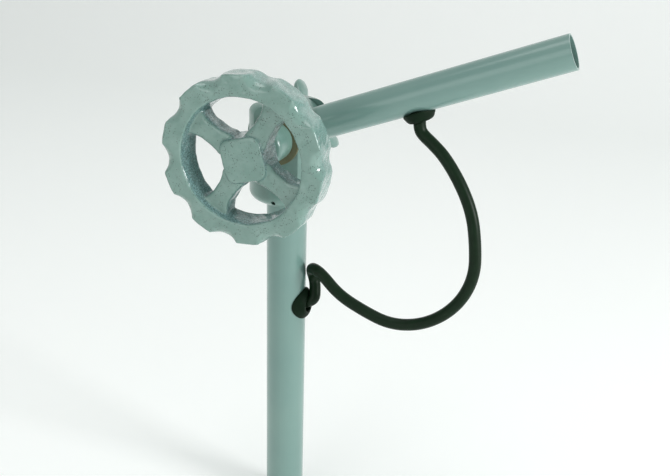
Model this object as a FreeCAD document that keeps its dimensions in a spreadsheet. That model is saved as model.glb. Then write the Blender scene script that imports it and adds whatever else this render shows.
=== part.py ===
"""Friction elbow of a workshop lamp: an upright post, a tilting arm, a handwheel clamp and a cord loop.

Row frame in millimetres: the origin is the centre of the post's lower end, +Z runs up the post, the arm
leans out towards +X, and the clamp's axis is parallel to Y with the handwheel on the -Y side.
"""
import FreeCAD, Part
import math
import os
from types import SimpleNamespace

import Sketcher
from FreeCAD import Placement, Rotation, Vector

# Driving dimensions, in millimetres and degrees.
SIZES = {
    # upright post and its lower end
    "pivot_height": 210.0,
    "post_radius": 10.0,
    "post_wall": 1.5,
    "end_socket_depth": 20.0,
    "end_socket_step": 0.3,
    "end_bush_length": 12.0,
    # tilting arm
    "arm_reach": 138.5,
    "arm_pitch": 21.0,
    "arm_radius": 8.0,
    "arm_wall": 1.2,
    # forked head on top of the post
    "head_radius": 18.5,
    "head_above": 15.5,
    "head_below": 33.0,
    "head_edge": 5.0,
    "head_flat": 14.8,
    "slot_clearance": 1.0,
    "socket_depth": 13.0,
    "weld_radius": 1.6,
    "head_pin_radius": 1.1,
    "head_pin_rise": 2.3,
    "head_pin_sink": 3.0,
    # eye at the root of the arm
    "eye_radius": 17.2,
    "eye_half": 8.2,
    "eye_neck": 20.0,
    "spigot_length": 22.0,
    "eye_bush_wall": 1.5,
    "rivet_radius": 1.6,
    "rivet_head_radius": 2.8,
    "rivet_head_height": 0.9,
    "rivet_depth": 5.0,
    "rivet_first": 26.0,
    "rivet_pitch": 10.0,
    # friction discs and washers
    "disc_thickness": 0.9,
    "disc_radius": 15.0,
    "washer_radius": 12.1,
    "washer_thickness": 1.6,
    "sleeve_radius": 7.6,
    "sleeve_length": 6.0,
    "spring_radius": 7.2,
    "spring_thickness": 2.0,
    "spring_split": 1.2,
    # clamp spindle with its collar
    "spindle_radius": 4.0,
    "spindle_tail": 38.5,
    "cheek_bush_wall": 1.9,
    "collar_radius": 9.2,
    "collar_length": 15.0,
    "collar_edge": 3.5,
    "collar_neck_radius": 6.0,
    "spindle_end_gap": 0.2,
    # handwheel, measured forward of the pivot
    "wheel_front": 54.8,
    "rim_depth": 13.8,
    "rim_radius": 38.0,
    "rim_face_radius": 36.8,
    "rim_inner_radius": 27.4,
    "rim_chamfer": 1.4,
    "scallop_radius": 7.6,
    "scallop_depth": 4.6,
    "scallop_lean": 9.0,
    "cutter_overrun": 2.0,
    "spoke_width": 9.0,
    "spoke_recess": 4.0,
    "spoke_depth": 9.5,
    "hub_width": 18.6,
    "hub_recess": 2.3,
    "hub_depth": 15.0,
    "hub_corner": 3.4,
    "hub_web": 3.0,
    "drive_pin_radius": 1.5,
    "drive_pin_inset": 1.2,
    "drive_pin_sink": 0.4,
    "wheel_phase": 13.5,
    # wing nut
    "nut_base_radius": 8.0,
    "nut_top_radius": 6.2,
    "nut_height": 10.0,
    "ear_span": 19.6,
    "ear_rise": 20.0,
    "ear_thickness": 4.0,
    "ear_root": 1.0,
    "nut_phase": 124.0,
    # cord and its grommets
    "cord_radius": 2.9,
    "grommet_slack": 1.3,
    "grommet_neck_radius": 5.4,
    "grommet_edge": 1.0,
    "grommet_tail": 1.0,
    "post_grommet_drop": 89.0,
    "post_grommet_radius": 8.3,
    "post_grommet_lip": 6.4,
    "post_grommet_height": 2.0,
    "post_exit_tilt": 24.0,
    "post_exit_lead": 4.2,
    "arm_grommet_reach": 65.8,
    "arm_grommet_radius": 7.6,
    "arm_grommet_lip": 5.9,
    "arm_grommet_height": 3.6,
    "arm_exit_tilt": 18.0,
    "arm_exit_lead": 3.4,
    # fits
    "running_gap": 0.06,
    "seat_gap": 0.02,
    "face_gap": 0.05,
}
SCALLOPS = 10
RIVETS = 2

# Outline of one wing of the nut, as shares of its span and of its rise.
EAR_OUTLINE = [(0.72, 0.36), (0.93, 0.52), (1.0, 0.68), (1.0, 0.86), (0.93, 0.96), (0.82, 1.0), (0.66, 0.92)]

# Corners of the free cord's route: its fold beside the post, whose X counts from where a cord's middle line
# would touch the post, and then its loop, all otherwise measured from the pivot.
FOLD_CORNERS = [
    (4.6, 0.8, -82.7),
    (3.5, 3.2, -77.8),
    (1.0, 5.4, -73.2),
    (-0.5, 1.8, -67.6),
    (2.9, -4.4, -65.4),
    (9.1, -6.6, -69.2),
]
LOOP_CORNERS = [
    (31.0, -6.8, -77.4),
    (43.4, -7.2, -84.6),
    (57.4, -8.0, -88.4),
    (71.4, -8.6, -86.4),
    (83.8, -9.0, -79.2),
    (93.0, -9.0, -68.0),
    (97.4, -8.6, -54.6),
    (96.8, -7.8, -40.4),
    (93.6, -6.4, -26.6),
    (87.2, -4.6, -14.0),
    (78.4, -2.5, -2.4),
    (71.4, -0.9, 3.2),
    (67.0, -0.1, 6.2),
]

doc = FreeCAD.newDocument("lamp_elbow")
sheet = doc.addObject("Spreadsheet::Sheet", "size")


class Size:
    """A length that knows both its value and the sheet expression that gives it."""

    def __init__(self, text, value):
        self.text = text
        self.value = value

    def _with(self, sign, other, result):
        other_text = other.text if isinstance(other, Size) else repr(float(other))
        return Size(f"({self.text} {sign} {other_text})", result)

    def __add__(self, other):
        return self._with("+", other, self.value + number(other))

    def __sub__(self, other):
        return self._with("-", other, self.value - number(other))

    def __mul__(self, other):
        return self._with("*", other, self.value * number(other))

    def __truediv__(self, other):
        return self._with("/", other, self.value / number(other))


def number(value):
    """The plain number behind a Size or a number."""
    return value.value if isinstance(value, Size) else float(value)


def read_sheet():
    """Fills the sheet with the driving dimensions and returns them as Size values."""
    for row, (name, value) in enumerate(SIZES.items(), start=1):
        sheet.set(f"A{row}", name)
        sheet.set(f"B{row}", str(value))
        sheet.setAlias(f"B{row}", name)
    doc.recompute()
    return SimpleNamespace(**{name: Size(f"size.{name}", value) for name, value in SIZES.items()})


s = read_sheet()


def bind(item, **values):
    """Sets properties of a document object and ties each one that is a Size to the sheet."""
    for name, value in values.items():
        setattr(item, name, number(value))
        if isinstance(value, Size):
            item.setExpression(name, value.text)
    return item


# Frames of the main groups. In each one the local Z axis is the axis that its pieces are turned about.
PIVOT = Vector(0, 0, s.pivot_height.value)
UPRIGHT = Placement()
ARM = Placement(PIVOT, Rotation(Vector(0, 1, 0), 90 - s.arm_pitch.value))
FORWARD = Placement(PIVOT, Rotation(Vector(1, 0, 0), 90))
BACKWARD = Placement(PIVOT, Rotation(Vector(1, 0, 0), -90))


def moved(frame, x=0, y=0, z=0, turn=None):
    """The frame, shifted along its own axes and then turned."""
    shift = Vector(number(x), number(y), number(z))
    return frame.multiply(Placement(shift, turn or Rotation()))


def origin_plane(body, role):
    """One of the body's own origin planes."""
    return next(item for item in body.Origin.OriginFeatures if item.Role == role)


def outline_sketch(body, name, points):
    """A closed outline on the body's XZ plane, each corner tied to the sheet by its two distances."""
    sketch = body.newObject("Sketcher::SketchObject", name)
    sketch.AttachmentSupport = [(origin_plane(body, "XZ_Plane"), "")]
    sketch.MapMode = "FlatFace"
    corners = [Vector(number(across), number(along), 0) for across, along in points]
    for here, there in zip(corners, corners[1:] + corners[:1]):
        sketch.addGeometry(Part.LineSegment(here, there), False)
    for line in range(len(points)):
        following = (line + 1) % len(points)
        sketch.addConstraint(Sketcher.Constraint("Coincident", line, 2, following, 1))
    for line, corner in enumerate(points):
        for kind, axis, value in (("DistanceX", -2, corner[0]), ("DistanceY", -1, corner[1])):
            if number(value) == 0:
                sketch.addConstraint(Sketcher.Constraint("PointOnObject", line, 1, axis))
                continue
            constraint = Sketcher.Constraint(kind, -1, 1, line, 1, number(value))
            index = sketch.addConstraint(constraint)
            if isinstance(value, Size):
                sketch.setExpression(f"Constraints[{index}]", value.text)
    return sketch


def turned(label, frame, points):
    """A body turned about its local Z axis from an outline of (radius, height) corners."""
    body = doc.addObject("PartDesign::Body", label)
    body.Label = label
    body.Placement = frame
    sketch = outline_sketch(body, f"{label}_outline", points)
    turning = body.newObject("PartDesign::Revolution", f"{label}_turning")
    turning.Profile = sketch
    turning.ReferenceAxis = (sketch, ["V_Axis"])
    turning.Angle = 360
    doc.recompute()
    return body


def ring(label, frame, inner, outer, start, end):
    """A turned body of rectangular section between two radii and two heights."""
    return turned(label, frame, [(inner, start), (outer, start), (outer, end), (inner, end)])


def rod(label, frame, radius, length):
    """A plain cylinder along the frame's Z axis."""
    item = doc.addObject("Part::Cylinder", label)
    item.Placement = frame
    return bind(item, Radius=radius, Height=length)


def block(label, frame, along, across, height):
    """A box centred on the frame's Z axis, standing on its XY plane."""
    item = doc.addObject("Part::Box", label)
    item.Placement = moved(frame, x=-number(along) / 2, y=-number(across) / 2)
    return bind(item, Length=along, Width=across, Height=height)


def joined(label, pieces):
    """Several solids fused to one."""
    item = doc.addObject("Part::MultiFuse", label)
    item.Shapes = pieces
    item.Refine = True
    return item


def cut_away(label, base, cutters):
    """The base with the cutters taken out of it."""
    tool = cutters[0] if len(cutters) == 1 else joined(f"{label}_cutters", cutters)
    item = doc.addObject("Part::Cut", label)
    item.Base = base
    item.Tool = tool
    return item


def circles_at(shape, radius, heights, frame):
    """Names of the shape's circular edges of a radius, at given heights of a frame."""
    names = []
    for index, edge in enumerate(shape.Edges, start=1):
        if not isinstance(edge.Curve, Part.Circle) or abs(edge.Curve.Radius - radius) > 1e-6:
            continue
        height = frame.inverse().multVec(edge.Curve.Center).z
        if any(abs(height - wanted) < 1e-6 for wanted in heights):
            names.append(f"Edge{index}")
    return names


def softened(body, base, radius, names):
    """A fillet of a body's edges."""
    fillet = body.newObject("PartDesign::Fillet", f"{body.Label}_rounding")
    fillet.Base = (base, names)
    bind(fillet, Radius=radius)
    doc.recompute()


def cable_wire(points, share):
    """Straight runs joined by tangent arcs, each arc as large as the share of its shorter run allows."""
    edges, radii, start = [], [], points[0]
    for before, corner, after in zip(points, points[1:], points[2:]):
        back, ahead = before - corner, after - corner
        half_turn = (math.pi - back.getAngle(ahead)) / 2
        reach = share * min(back.Length, ahead.Length)
        radius = reach / math.tan(half_turn)
        radii.append(radius)
        back.normalize()
        ahead.normalize()
        entry, leave = corner + back * reach, corner + ahead * reach
        inward = (back + ahead).normalize()
        middle = corner + inward * (radius / math.cos(half_turn) - radius)
        edges.append(Part.LineSegment(start, entry).toShape())
        edges.append(Part.Arc(entry, middle, leave).toShape())
        start = leave
    edges.append(Part.LineSegment(start, points[-1]).toShape())
    return Part.Wire(edges), radii


def cable(label, points, share=0.45):
    """A round cable of the cord's radius along a rounded route, with its arc radii printed."""
    wire, radii = cable_wire(points, share)
    heading = points[1] - points[0]
    section = Part.Wire(Part.Circle(points[0], heading, s.cord_radius.value).toShape())
    item = doc.addObject("Part::Feature", label)
    item.Shape = wire.makePipeShell([section], True, True)
    ideal = math.pi * s.cord_radius.value**2 * wire.Length
    print(f"{label}: length {wire.Length:.1f}, radii {[round(radius, 1) for radius in radii]}, "
          f"volume {item.Shape.Volume / ideal:.4f} of section times length")
    return item


# ---------------------------------------------------------------- shared places
post_bore = s.post_radius - s.post_wall
arm_bore = s.arm_radius - s.arm_wall
head_bottom = s.pivot_height - s.head_below
head_height = s.head_above + s.head_below
slot_half = s.eye_half + s.disc_thickness + s.face_gap * 2
shaft_bore = s.spindle_radius + s.running_gap
slot_floor = s.pivot_height - s.eye_radius - s.slot_clearance
slot_height = s.eye_radius + s.head_above + s.slot_clearance * 2
post_grommet_rise = s.pivot_height - s.post_grommet_drop
grommet_bore = s.cord_radius + s.grommet_slack
collar_start = s.head_flat + s.washer_thickness + s.face_gap * 2
collar_end = collar_start + s.collar_length
wheel_back = s.wheel_front - s.rim_depth
hub_front = s.wheel_front - s.hub_recess
hub_back = hub_front - s.hub_depth
sleeve_start = s.head_flat + s.face_gap + s.washer_thickness
spring_start = sleeve_start + s.face_gap + s.sleeve_length
nut_start = spring_start + s.spring_thickness + s.face_gap * 2


class Exit:
    """A hole in a tube's side where the cord comes out, slanting, through a grommet."""

    def __init__(self, tube_frame, along, radius, wall, height, tilt):
        self.tube_frame = moved(tube_frame, z=along)
        self.frame = moved(self.tube_frame, turn=Rotation(Vector(0, 1, 0), 90))
        self.tube_radius = radius
        self.tail = radius - wall - s.grommet_tail
        self.mouth = radius + height
        self.slope = math.tan(math.radians(tilt))
        self.middle = (self.tail.value + self.mouth.value) / 2

    def cord_at(self, distance):
        """The point where the slanting cord is at this distance from the tube's axis."""
        return self.tube_frame.multVec(Vector(distance, 0, (distance - self.middle) * self.slope))

    def lead(self, length):
        """The point this far outside the mouth, straight along the cord."""
        return self.cord_at(self.mouth.value + length / math.hypot(1, self.slope))


POST_EXIT = Exit(UPRIGHT, post_grommet_rise, s.post_radius, s.post_wall, s.post_grommet_height,
                 s.post_exit_tilt.value)
ARM_EXIT = Exit(ARM, s.arm_grommet_reach, s.arm_radius, s.arm_wall, s.arm_grommet_height,
                -s.arm_exit_tilt.value)


# ---------------------------------------------------------------- post and its forked head
def build_post():
    """The upright tube, its end bush, the forked head, the weld, the pin and the cheek bushes."""
    socket_top = head_bottom + s.socket_depth - s.seat_gap
    tube = ring("post_tube_blank", UPRIGHT, post_bore, s.post_radius, 0, socket_top)
    window = rod("post_tube_window", POST_EXIT.frame, s.grommet_neck_radius + s.seat_gap, s.post_radius * 2)
    end_socket = rod("post_tube_end_socket", UPRIGHT, post_bore + s.end_socket_step, s.end_socket_depth)
    pin_height = head_bottom + s.head_pin_rise
    pin_frame = moved(UPRIGHT, y=-s.head_radius.value, z=pin_height, turn=Rotation(Vector(1, 0, 0), -90))
    pin_hole = rod("post_tube_pin_hole", pin_frame, s.head_pin_radius + s.seat_gap, s.head_radius * 2)
    cut_away("post_tube", tube, [window, end_socket, pin_hole])

    ring("post_end_bush", UPRIGHT, s.cord_radius + s.face_gap, post_bore - s.seat_gap, s.end_socket_depth,
         s.end_socket_depth + s.end_bush_length)

    drum = turned("post_head_drum", moved(UPRIGHT, z=head_bottom),
                  [(0, 0), (s.head_radius, 0), (s.head_radius, head_height), (0, head_height)])
    rims = circles_at(drum.Tip.Shape, s.head_radius.value, [0, head_height.value], Placement())
    softened(drum, drum.Tip, s.head_edge, rims)
    slot = block("post_head_slot", moved(UPRIGHT, z=slot_floor), s.head_radius * 3, slot_half * 2, slot_height)
    flats = []
    for side, name in ((-1, "front"), (1, "rear")):
        offset = side * (s.head_flat.value + s.head_radius.value)
        flats.append(block(f"post_head_{name}_flat", moved(UPRIGHT, y=offset, z=slot_floor), s.head_radius * 3,
                           s.head_radius * 2, slot_height))
    socket = rod("post_head_socket", moved(UPRIGHT, z=head_bottom), s.post_radius + s.seat_gap, s.socket_depth)
    cross_bore = rod("post_head_cross_bore", moved(FORWARD, z=-s.head_radius.value),
                     shaft_bore + s.cheek_bush_wall + s.seat_gap, s.head_radius * 2)
    pin_seat = rod("post_head_pin_seat", pin_frame, s.head_pin_radius + s.seat_gap, s.head_radius * 2)
    cut_away("post_head", drum, [slot, *flats, socket, cross_bore, pin_seat])

    turned("head_weld", moved(UPRIGHT, z=head_bottom - s.weld_radius),
           [(s.post_radius + s.seat_gap, 0), (s.post_radius + s.weld_radius, s.weld_radius - s.seat_gap),
            (s.post_radius + s.seat_gap, s.weld_radius - s.seat_gap)])
    rod("head_pin", moved(pin_frame, z=s.head_pin_sink), s.head_pin_radius,
        s.head_radius * 2 - s.head_pin_sink * 2)
    for name, frame in (("front", FORWARD), ("rear", BACKWARD)):
        ring(f"cheek_bush_{name}", frame, shaft_bore, shaft_bore + s.cheek_bush_wall, slot_half, s.head_flat)
        ring(f"friction_disc_{name}", frame, shaft_bore + s.running_gap, s.disc_radius,
             s.eye_half + s.face_gap, slot_half - s.face_gap)
    ring("front_washer", FORWARD, shaft_bore + s.running_gap, s.washer_radius,
         s.head_flat + s.face_gap, s.head_flat + s.face_gap + s.washer_thickness)


# ---------------------------------------------------------------- arm
def rivet_frame(index, radius):
    """A frame at a rivet on the arm's rear side, its Z axis pointing out of the arm."""
    return moved(ARM, y=radius, z=s.rivet_first + s.rivet_pitch * index, turn=Rotation(Vector(1, 0, 0), -90))


def build_arm():
    """The arm's tube, its eye with bush and rivets, and its outer end bush."""
    tube_start = s.eye_neck + s.face_gap
    socket_start = s.arm_reach - s.end_socket_depth
    tube = ring("arm_tube_blank", ARM, arm_bore, s.arm_radius, tube_start, s.arm_reach)
    window = rod("arm_tube_window", ARM_EXIT.frame, s.grommet_neck_radius + s.seat_gap, s.arm_radius * 2)
    end_socket = rod("arm_tube_end_socket", moved(ARM, z=socket_start), arm_bore + s.end_socket_step,
                     s.end_socket_depth)
    rivet_foot = s.arm_radius - s.rivet_depth
    holes = [rod(f"arm_tube_rivet_hole_{index}", rivet_frame(index, rivet_foot),
                 s.rivet_radius + s.seat_gap, s.rivet_depth * 2) for index in range(RIVETS)]
    cut_away("arm_tube", tube, [window, end_socket, *holes])

    disc = rod("arm_eye_disc", moved(ARM, y=s.eye_half, turn=Rotation(Vector(1, 0, 0), 90)),
               s.eye_radius, s.eye_half * 2)
    neck = rod("arm_eye_neck", ARM, s.arm_radius, s.eye_neck)
    spigot = rod("arm_eye_spigot", ARM, arm_bore - s.seat_gap, s.eye_neck + s.spigot_length)
    bore = rod("arm_eye_bore", moved(ARM, y=s.eye_radius, turn=Rotation(Vector(1, 0, 0), 90)),
               shaft_bore + s.eye_bush_wall + s.seat_gap, s.eye_radius * 2)
    seats = [rod(f"arm_eye_rivet_seat_{index}", rivet_frame(index, rivet_foot),
                 s.rivet_radius + s.seat_gap, s.rivet_depth * 2) for index in range(RIVETS)]
    cut_away("arm_eye", joined("arm_eye_blank", [disc, neck, spigot]), [bore, *seats])
    ring("eye_bush", moved(ARM, y=s.eye_half, turn=Rotation(Vector(1, 0, 0), 90)), shaft_bore,
         shaft_bore + s.eye_bush_wall, 0, s.eye_half * 2)

    rivets = []
    for index in range(RIVETS):
        shank = rod(f"arm_rivet_shank_{index}", rivet_frame(index, rivet_foot), s.rivet_radius,
                    s.rivet_depth + s.seat_gap)
        head_frame = rivet_frame(index, s.arm_radius + s.seat_gap)
        head = rod(f"arm_rivet_head_{index}", head_frame, s.rivet_head_radius, s.rivet_head_height)
        rivets.append(joined(f"arm_rivet_{index}", [shank, head]))
    group = doc.addObject("Part::Compound", "arm_rivets")
    group.Links = rivets

    ring("arm_end_bush", ARM, s.cord_radius + s.face_gap, arm_bore - s.seat_gap,
         socket_start - s.end_bush_length, socket_start)


# ---------------------------------------------------------------- cord, its grommets and the cables inside
def build_grommet(label, place, radius, lip_radius):
    """A rubber grommet saddled on a tube, with a neck and a tail through the tube's wall."""
    foot = place.tube_radius / 2
    flange = turned(f"{label}_flange", place.frame, [
        (grommet_bore, foot), (radius, foot), (radius, place.tube_radius + s.grommet_edge / 2),
        (lip_radius, place.mouth - s.grommet_edge / 2), (lip_radius - s.grommet_edge / 2, place.mouth),
        (grommet_bore, place.mouth)])
    saddle = rod(f"{label}_saddle", moved(place.tube_frame, z=-place.tube_radius.value * 2),
                 place.tube_radius + s.seat_gap, place.tube_radius * 4)
    neck = ring(f"{label}_neck", place.frame, grommet_bore, s.grommet_neck_radius, place.tail,
                place.tube_radius + s.seat_gap * 4)
    joined(label, [cut_away(f"{label}_lip", flange, [saddle]), neck])


def build_cords():
    """Both grommets, the free loop between them and the cables inside the two tubes."""
    build_grommet("post_grommet", POST_EXIT, s.post_grommet_radius, s.post_grommet_lip)
    build_grommet("arm_grommet", ARM_EXIT, s.arm_grommet_radius, s.arm_grommet_lip)
    post_mouth, arm_mouth = (place.cord_at(place.mouth.value) for place in (POST_EXIT, ARM_EXIT))
    touching = PIVOT + Vector(s.post_radius.value + s.cord_radius.value, 0, 0)
    fold = [touching + Vector(*corner) for corner in FOLD_CORNERS]
    loop = [PIVOT + Vector(*corner) for corner in LOOP_CORNERS]
    cable("flex_cord", [post_mouth, POST_EXIT.lead(s.post_exit_lead.value), *fold, *loop,
                        ARM_EXIT.lead(s.arm_exit_lead.value), arm_mouth])
    cable("post_cable", [post_mouth, POST_EXIT.cord_at(0), Vector(0, 0, s.end_socket_depth.value)], share=0.5)
    arm_end = ARM.multVec(Vector(0, 0, s.arm_reach.value - s.end_socket_depth.value))
    cable("arm_cable", [arm_mouth, ARM_EXIT.cord_at(0), arm_end], share=0.5)


# ---------------------------------------------------------------- handwheel and spindle
def build_handwheel():
    """A cast wheel: a deep scalloped rim, two crossing bars and a raised square hub."""
    frame = FORWARD.multiply(Placement(Vector(), Rotation(Vector(0, 0, 1), s.wheel_phase.value)))
    rim = turned("handwheel_rim", frame, [
        (s.rim_inner_radius, wheel_back),
        (s.rim_radius - s.rim_chamfer, wheel_back),
        (s.rim_radius, wheel_back + s.rim_chamfer),
        (s.rim_radius, s.wheel_front - s.rim_chamfer),
        (s.rim_face_radius, s.wheel_front),
        (s.rim_inner_radius + s.rim_chamfer, s.wheel_front),
        (s.rim_inner_radius, s.wheel_front - s.rim_chamfer),
    ])
    bar_front = s.wheel_front - s.spoke_recess
    bars = [block(f"handwheel_bar_{index}",
                  moved(frame, z=bar_front - s.spoke_depth, turn=Rotation(Vector(0, 0, 1), 45 + 90 * index)),
                  s.rim_inner_radius * 2 + s.cutter_overrun, s.spoke_width, s.spoke_depth) for index in range(2)]
    hub_block = block("handwheel_hub_block", moved(frame, z=hub_back), s.hub_width, s.hub_width, s.hub_depth)
    hub = doc.addObject("Part::Fillet", "handwheel_hub")
    hub.Base = hub_block
    doc.recompute()
    corners = [index for index, edge in enumerate(hub_block.Shape.Edges, start=1)
               if abs(edge.tangentAt(edge.FirstParameter).y) > 0.99]
    hub.Edges = [(index, s.hub_corner.value, s.hub_corner.value) for index in corners]
    casting = joined("handwheel_casting", [rim, *bars, hub])

    cutters = []
    lean = math.radians(s.scallop_lean.value)
    centre = s.rim_radius.value - s.scallop_depth.value + s.scallop_radius.value
    back_offset = centre + (s.rim_depth.value + s.cutter_overrun.value) * math.tan(lean)
    for index in range(SCALLOPS):
        turn = Rotation(Vector(0, 0, 1), 135 + index * 360 / SCALLOPS)
        place = moved(frame, z=wheel_back - s.cutter_overrun, turn=turn)
        leaning = Rotation(Vector(0, 1, 0), -s.scallop_lean.value)
        cutters.append(rod(f"handwheel_scallop_{index}", moved(place, x=back_offset, turn=leaning),
                           s.scallop_radius, s.rim_depth + s.cutter_overrun * 3))
    bore = rod("handwheel_bore", moved(frame, z=hub_back - s.cutter_overrun), s.spindle_radius + s.seat_gap,
               s.hub_depth - s.hub_web + s.cutter_overrun)
    pin_hole = rod("handwheel_pin_hole", drive_pin_frame(), s.drive_pin_radius + s.seat_gap, s.hub_width)
    cut_away("handwheel", casting, [*cutters, bore, pin_hole])


def drive_pin_frame():
    """Frame of the pin that drives the wheel: it crosses the hub behind the bars, parallel to X."""
    return moved(FORWARD, x=-s.hub_width.value / 2, z=hub_back + s.drive_pin_radius + s.drive_pin_inset,
                 turn=Rotation(Vector(0, 1, 0), 90))


def build_spindle():
    """The clamp's spindle, its turned collar and the pin that ties the wheel to it."""
    tail = moved(FORWARD, z=-s.spindle_tail.value)
    length = s.spindle_tail + hub_back + s.hub_depth - s.hub_web - s.spindle_end_gap
    blank = rod("clamp_spindle_blank", tail, s.spindle_radius, length)
    hole = rod("clamp_spindle_pin_hole", drive_pin_frame(), s.drive_pin_radius + s.seat_gap, s.hub_width)
    cut_away("clamp_spindle", blank, [hole])
    bore = s.spindle_radius + s.seat_gap
    edge = s.collar_edge
    # the middle of a quarter round lies this share of its radius in from each of its ends
    mid_arc = 1 - math.sqrt(0.5)
    turned("spindle_collar", FORWARD, [
        (bore, collar_start),
        (s.collar_radius, collar_start),
        (s.collar_radius, collar_end - edge),
        (s.collar_radius - edge * mid_arc, collar_end - edge * mid_arc),
        (s.collar_radius - edge, collar_end),
        (s.collar_neck_radius, collar_end),
        (s.collar_neck_radius, hub_back - s.face_gap),
        (bore, hub_back - s.face_gap),
    ])
    rod("drive_pin", moved(drive_pin_frame(), z=s.drive_pin_sink), s.drive_pin_radius,
        s.hub_width - s.drive_pin_sink * 2)


# ---------------------------------------------------------------- rear stack and wing nut
def build_rear_stack():
    """Behind the head, in order: washer, spacer sleeve, split spring washer and wing nut."""
    bore = shaft_bore + s.running_gap
    ring("rear_washer", BACKWARD, bore, s.washer_radius, s.head_flat + s.face_gap,
         s.head_flat + s.face_gap + s.washer_thickness)
    ring("spacer_sleeve", BACKWARD, bore, s.sleeve_radius, sleeve_start + s.face_gap,
         sleeve_start + s.face_gap + s.sleeve_length)
    spring = ring("spring_washer_blank", BACKWARD, bore, s.spring_radius, spring_start + s.face_gap,
                  spring_start + s.face_gap + s.spring_thickness)
    split = block("spring_washer_split", moved(BACKWARD, x=s.spring_radius, z=spring_start),
                  s.spring_radius * 2, s.spring_split, s.spring_thickness * 2)
    cut_away("spring_washer", spring, [split])

    nut_frame = BACKWARD.multiply(Placement(Vector(0, 0, nut_start.value),
                                            Rotation(Vector(0, 0, 1), -s.nut_phase.value)))
    nut = turned("wing_nut", nut_frame, [(shaft_bore, 0), (s.nut_base_radius, 0),
                                         (s.nut_top_radius, s.nut_height), (shaft_bore, s.nut_height)])
    root = s.nut_top_radius - s.ear_root
    ear_outline = outline_sketch(nut, "wing_nut_ear_outline", [
        (root, s.ear_root * 3), *((s.ear_span * across, s.ear_rise * up) for across, up in EAR_OUTLINE),
        (s.nut_top_radius, s.nut_height - s.ear_root / 2), (root, s.nut_height - s.ear_root / 2)])
    ear = nut.newObject("PartDesign::Pad", "wing_nut_ear")
    ear.Profile = ear_outline
    ear.SideType = "Symmetric"
    bind(ear, Length=s.ear_thickness)
    doc.recompute()
    ears = nut.newObject("PartDesign::PolarPattern", "wing_nut_ears")
    ears.Originals = [ear]
    ears.Axis = (ear_outline, ["V_Axis"])
    ears.Angle = 360
    ears.Occurrences = 2
    nut.Tip = ears


NODES = [
    "post_tube", "post_end_bush", "post_head", "head_weld", "head_pin",
    "cheek_bush_front", "cheek_bush_rear", "friction_disc_front", "friction_disc_rear", "front_washer",
    "post_grommet", "post_cable", "flex_cord",
    "arm_tube", "arm_eye", "eye_bush", "arm_rivets", "arm_end_bush", "arm_grommet", "arm_cable",
    "handwheel", "clamp_spindle", "spindle_collar", "drive_pin",
    "rear_washer", "spacer_sleeve", "spring_washer", "wing_nut",
]


def check_and_write():
    """Stops on any failed object or bad solid, then writes one STEP file for each node."""
    doc.recompute()
    for item in doc.Objects:
        if "Invalid" in item.State or "Error" in item.State:
            raise RuntimeError(f"{item.Label} did not build: {item.State}")
    os.makedirs("parts", exist_ok=True)
    for name in NODES:
        shape = doc.getObjectsByLabel(name)[0].Shape
        if shape.isNull() or not shape.isValid() or not shape.Solids:
            raise RuntimeError(f"{name} is not a valid solid")
        shape.exportStep(f"parts/{name}.step")
        print(f"{name}: {len(shape.Solids)} solid, {shape.Volume:.1f} mm3")


build_post()
build_arm()
build_cords()
build_handwheel()
build_spindle()
build_rear_stack()
check_and_write()
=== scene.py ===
"""Friction elbow of a workshop lamp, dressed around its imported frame.

The row frame is in metres: the origin is the centre of the post's lower end, +Z runs up the post, the arm
leans out towards +X, and the clamp's axis is parallel to Y with the handwheel on the -Y side.
"""

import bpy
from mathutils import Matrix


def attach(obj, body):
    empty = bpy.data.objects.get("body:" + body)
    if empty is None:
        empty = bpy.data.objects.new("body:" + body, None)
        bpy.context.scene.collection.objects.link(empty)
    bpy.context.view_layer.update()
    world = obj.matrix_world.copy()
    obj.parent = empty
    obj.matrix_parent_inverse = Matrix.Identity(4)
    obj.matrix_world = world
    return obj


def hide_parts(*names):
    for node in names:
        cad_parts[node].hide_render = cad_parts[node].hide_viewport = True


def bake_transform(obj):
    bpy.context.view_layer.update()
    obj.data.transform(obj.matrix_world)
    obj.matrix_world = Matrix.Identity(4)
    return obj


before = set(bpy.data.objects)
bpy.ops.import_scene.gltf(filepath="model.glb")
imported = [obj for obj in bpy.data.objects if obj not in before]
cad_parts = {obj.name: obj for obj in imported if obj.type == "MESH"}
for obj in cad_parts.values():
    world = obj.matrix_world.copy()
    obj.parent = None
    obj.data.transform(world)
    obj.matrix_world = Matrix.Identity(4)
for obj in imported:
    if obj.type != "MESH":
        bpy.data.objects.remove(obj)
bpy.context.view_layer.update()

import logging
import math
from dataclasses import dataclass, field
from enum import Enum
from typing import Union

import bmesh
import bpy
import numpy as np
from mathutils import Matrix, Vector

logging.basicConfig(level=logging.INFO, format="%(message)s")
log = logging.getLogger("lamp_elbow")

MM = 0.001
PIVOT = np.array([0.0, 0.0, 210.0])
ARM_PITCH = math.radians(21.0)
POST_RADIUS, ARM_RADIUS = 10.0, 8.0
POST_EXIT, ARM_EXIT = 121.0, 65.8
POLE_GAP = 1e-7


class Body(Enum):
    """The rigid bodies that pieces ride on."""

    POST = "post"
    ARM = "arm"
    WHEEL = "handwheel"
    STACK = "thrust_stack"
    NUT = "wing_nut"


class Slot(Enum):
    """The record's material slots, passed along with the remade pieces."""

    PAINT = "green_paint"
    CAST = "cast_paint"
    FIBRE = "fibre"
    RUBBER = "rubber"
    CORD = "cord"


# ---------------------------------------------------------------- shader expressions
Amount = Union["Signal", float]


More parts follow.
